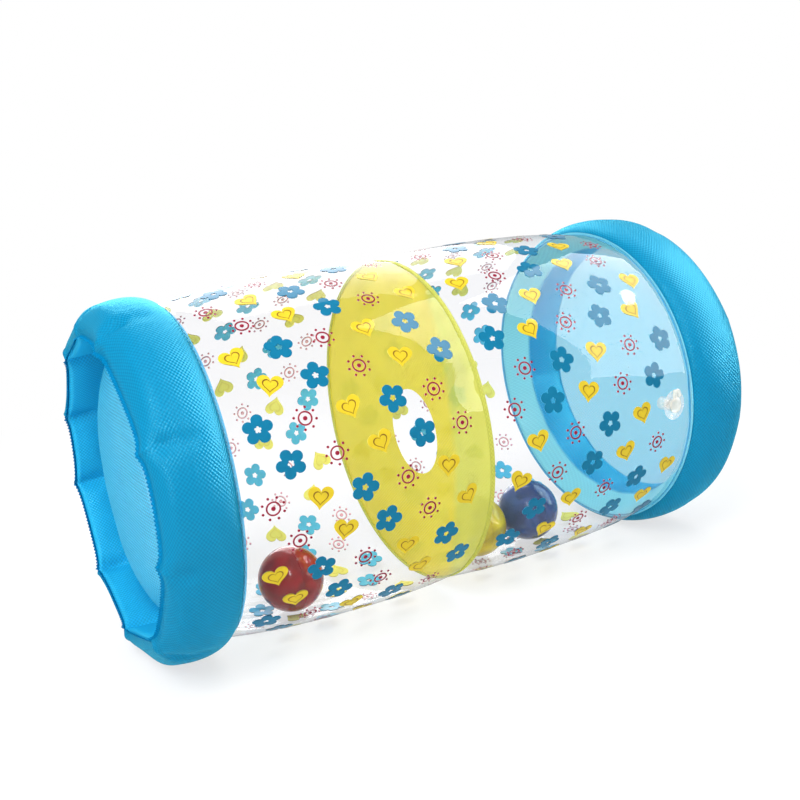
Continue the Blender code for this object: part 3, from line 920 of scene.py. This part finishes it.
def add_softbox(name, azimuth, height, distance, size, radiance, spin=0.0, shift=(0.0, 0.0), mirrored=False):
    """A lamp that faces the roller from an azimuth and height in degrees.

    A mirrored one only adds gloss, and the others add none. Spin turns it, in degrees, and shift moves it
    within its own plane.
    """
    lamp = bpy.data.lights.new(name, "AREA")
    lamp.shape = "ELLIPSE" if name.endswith("core") else "RECTANGLE"
    lamp.size, lamp.size_y = size
    lamp.energy = radiance * math.pi * size[0] * size[1]
    softbox = bpy.data.objects.new(name, lamp)
    away = direction(azimuth, height)
    facing = away.to_track_quat("Z", "Y").to_matrix()
    place = Vector((0.0, 0.0, AXIS_HEIGHT)) + facing @ Vector((*shift, distance))
    turned = facing @ Matrix.Rotation(math.radians(spin), 3, "Z")
    softbox.matrix_world = Matrix.Translation(place) @ turned.to_4x4()
    softbox.visible_diffuse = not mirrored
    softbox.visible_glossy = mirrored
    bpy.context.scene.collection.objects.link(softbox)


def add_lights():
    add_softbox("overhead_softbox", 150, 78, 1.4, (1.4, 0.9), 3.0)
    add_softbox("right_softbox", 120, 15, 1.7, (0.9, 0.9), 1.8)
    add_softbox("front_softbox", 234, 45, 1.7, (1.0, 1.0), 9.8)
    add_softbox("back_softbox", 20, 32, 1.7, (1.0, 1.0), 3.0)
    add_softbox("mirrored_window", 91, 25, 1.674, (2.4, 1.44), 10.0, 46, (-0.512, 0.161), mirrored=True)
    add_softbox("mirrored_window_core", 105, 38, 1.5, (0.26, 0.08), 36.0, 23, mirrored=True)
    add_softbox("mirrored_side_strip", 112, -6, 1.6, (0.4, 1.0), 9.0, mirrored=True)
    add_softbox("mirrored_back_wall", 24, 31, 1.6, (0.9, 2.1), 4.5, 20, mirrored=True)
    add_softbox("mirrored_front_lamp", 209, 38, 1.6, (0.07, 0.5), 45.0, 14, mirrored=True)
    add_softbox("mirrored_left_lamp", 221, 30, 1.6, (0.05, 0.6), 45.0, 14, mirrored=True)


def add_camera():
    camera = bpy.data.cameras.new("camera")
    camera.lens = CAMERA_LENS
    camera.sensor_width = 36.0
    camera.clip_start = 0.01
    camera.clip_end = 100.0
    piece = bpy.data.objects.new("camera", camera)
    level = direction(CAMERA_AZIMUTH, CAMERA_ELEVATION).to_track_quat("-Z", "Y").to_matrix()
    turn = level @ Matrix.Rotation(math.radians(CAMERA_ROLL), 3, "Z")
    piece.matrix_world = Matrix.Translation(CAMERA_PLACE) @ turn.to_4x4()
    bpy.context.scene.collection.objects.link(piece)
    bpy.context.scene.camera = piece


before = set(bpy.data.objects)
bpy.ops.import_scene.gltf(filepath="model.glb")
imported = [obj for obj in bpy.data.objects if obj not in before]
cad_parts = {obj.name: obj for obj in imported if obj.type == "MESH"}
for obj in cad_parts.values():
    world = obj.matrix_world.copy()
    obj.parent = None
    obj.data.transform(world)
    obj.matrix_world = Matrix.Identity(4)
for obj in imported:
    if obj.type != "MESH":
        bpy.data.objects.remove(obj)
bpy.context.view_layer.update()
partition_low, partition_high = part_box("centre_partition")
AXIS_HEIGHT = (partition_low.z + partition_high.z) / 2
valve_low, valve_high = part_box("barrel_valve_stem")
VALVE_X = (valve_low.x + valve_high.x) / 2

bpy.context.scene.view_settings.view_transform = "Standard"
add_camera()
add_lights()
add_stage()

# The partition's film is greener, darker and a little clearer past a soft curved line across its near side.
PARTITION_GREEN_ZONE = ((PARTITION_GREEN_LINE_CENTRE, AXIS_HEIGHT), PARTITION_GREEN_LINE_RADIUS - 6 * MM, PARTITION_GREEN_LINE_RADIUS + 6 * MM,
        (0.70, 0.70, 0.10), 0.8)
# Painted light: the end walls are paler, more opaque and less translucent outside the hole wall's radius, a
# bright rim in place of light that the inside lacks.
RIM_PAINTED_LIGHT = ((0.0, AXIS_HEIGHT), HOLE_WALL_RADIUS - 1.5 * MM, HOLE_WALL_RADIUS + 0.5 * MM, (0.28, 0.80, 1.0), 0.85)
CLEAR = clear_film("clear_vinyl")
CYAN = (0.22, 0.84, 0.95)
BLUE = coloured_film("blue_vinyl", (0.0, 0.22, 0.425), (0.20, 0.72, 0.95), 0.92, 0.1, 0.12 * MM,
                     CYAN, (0.045, 0.45))
# Painted light: the hole wall is the rings' blue vinyl made much lighter, in place of the light that it lacks
# inside the ring's hole.
WALL_PAINTED_LIGHTER = coloured_film("blue_wall_vinyl_painted_lighter", (0.02, 0.52, 0.90), (0.20, 0.72, 0.95), 0.85, 0.2, 0.12 * MM,
                     CYAN, (0.05, 0.3))
LIP = coloured_film("blue_weld", (0.0, 0.20, 0.42), (0.10, 0.50, 0.85), 0.9, 0.1, 0.05 * MM, CYAN)
SEAM = coloured_film("end_weld", (0.05, 0.40, 0.72), (0.30, 0.70, 0.90), 0.6, 0.2, 0.05 * MM)
LEFT_PALE = coloured_film("left_pale_vinyl", (0.05, 0.53, 0.88), (0.60, 0.86, 0.86), 0.85, 0.2, 0.3 * MM,
                          gloss=(0.03, 0.2), zone=RIM_PAINTED_LIGHT, ribs=0.8)
RIGHT_PALE = coloured_film("right_pale_vinyl", (0.0, 0.50, 0.92), (0.60, 0.86, 0.86), 0.5, 0.45, 0.03 * MM,
                           zone=RIM_PAINTED_LIGHT)
YELLOW = coloured_film("yellow_vinyl", (1.0, 0.75, 0.045), (1.0, 0.86, 0.20), 0.88, 0.15, 0.06 * MM,
                       zone=PARTITION_GREEN_ZONE)
BAND = coloured_film("yellow_weld", (0.66, 0.66, 0.14), (0.85, 0.88, 0.35), 0.6, 0.2, 0.05 * MM)
# Painted light: the backs of the print, seen from inside the barrel, are inked much lighter than its face, in
# place of light shining through the ink.
INKS = {
    ("print_blue", True): ink("blue_ink", (0.0, 0.14, 0.26)),
    ("print_blue", False): ink("blue_ink_back_painted_lighter", (0.10, 0.54, 0.84)),
    ("print_yellow", True): ink("yellow_ink", (0.62, 0.46, 0.02)),
    ("print_yellow", False): ink("yellow_ink_back_painted_lighter", (0.92, 0.86, 0.20)),
    ("print_ochre", True): ink("ochre_ink", (0.20, 0.10, 0.01)),
    ("print_ochre", False): ink("ochre_ink_back_painted_lighter", (0.80, 0.70, 0.12)),
    ("print_red", True): ink("red_ink", (0.24, 0.008, 0.03)),
    ("print_red", False): ink("red_ink_back_painted_lighter", (0.84, 0.42, 0.52)),
}
METAL = bell_metal()
STEM_VINYL = valve_vinyl("valve_stem_vinyl", (0.90, 0.91, 0.90), 0.08)
PLUG_VINYL = valve_vinyl("valve_plug_vinyl", (0.84, 0.80, 0.70), 0.22)
BALLS = {
    "red": ball_plastic("red_ball_plastic", (0.42, 0.002, 0.004), (0.85, 0.03, 0.03), 0.75),
    "yellow": ball_plastic("yellow_ball_plastic", (0.92, 0.72, 0.02), (0.95, 0.80, 0.12), 0.75),
    "blue": ball_plastic("blue_ball_plastic", (0.045, 0.10, 0.34), (0.15, 0.25, 0.65), 0.8),
}

add_partition(YELLOW, BAND)
for side in SIDES:
    add_barrel(side, CLEAR, SEAM)
    add_end_wall(side, {"left": LEFT_PALE, "right": RIGHT_PALE}[side])
    add_ring(side, BLUE, WALL_PAINTED_LIGHTER, LIP)
    add_print(side, INKS)
    add_valve(side + "_ring_valve", RING_VALVE_OUT, STEM_VINYL, PLUG_VINYL)
add_valve("barrel_valve", BARREL_VALVE_OUT, STEM_VINYL, PLUG_VINYL)
for colour, plastic in BALLS.items():
    add_ball(colour, plastic, METAL)
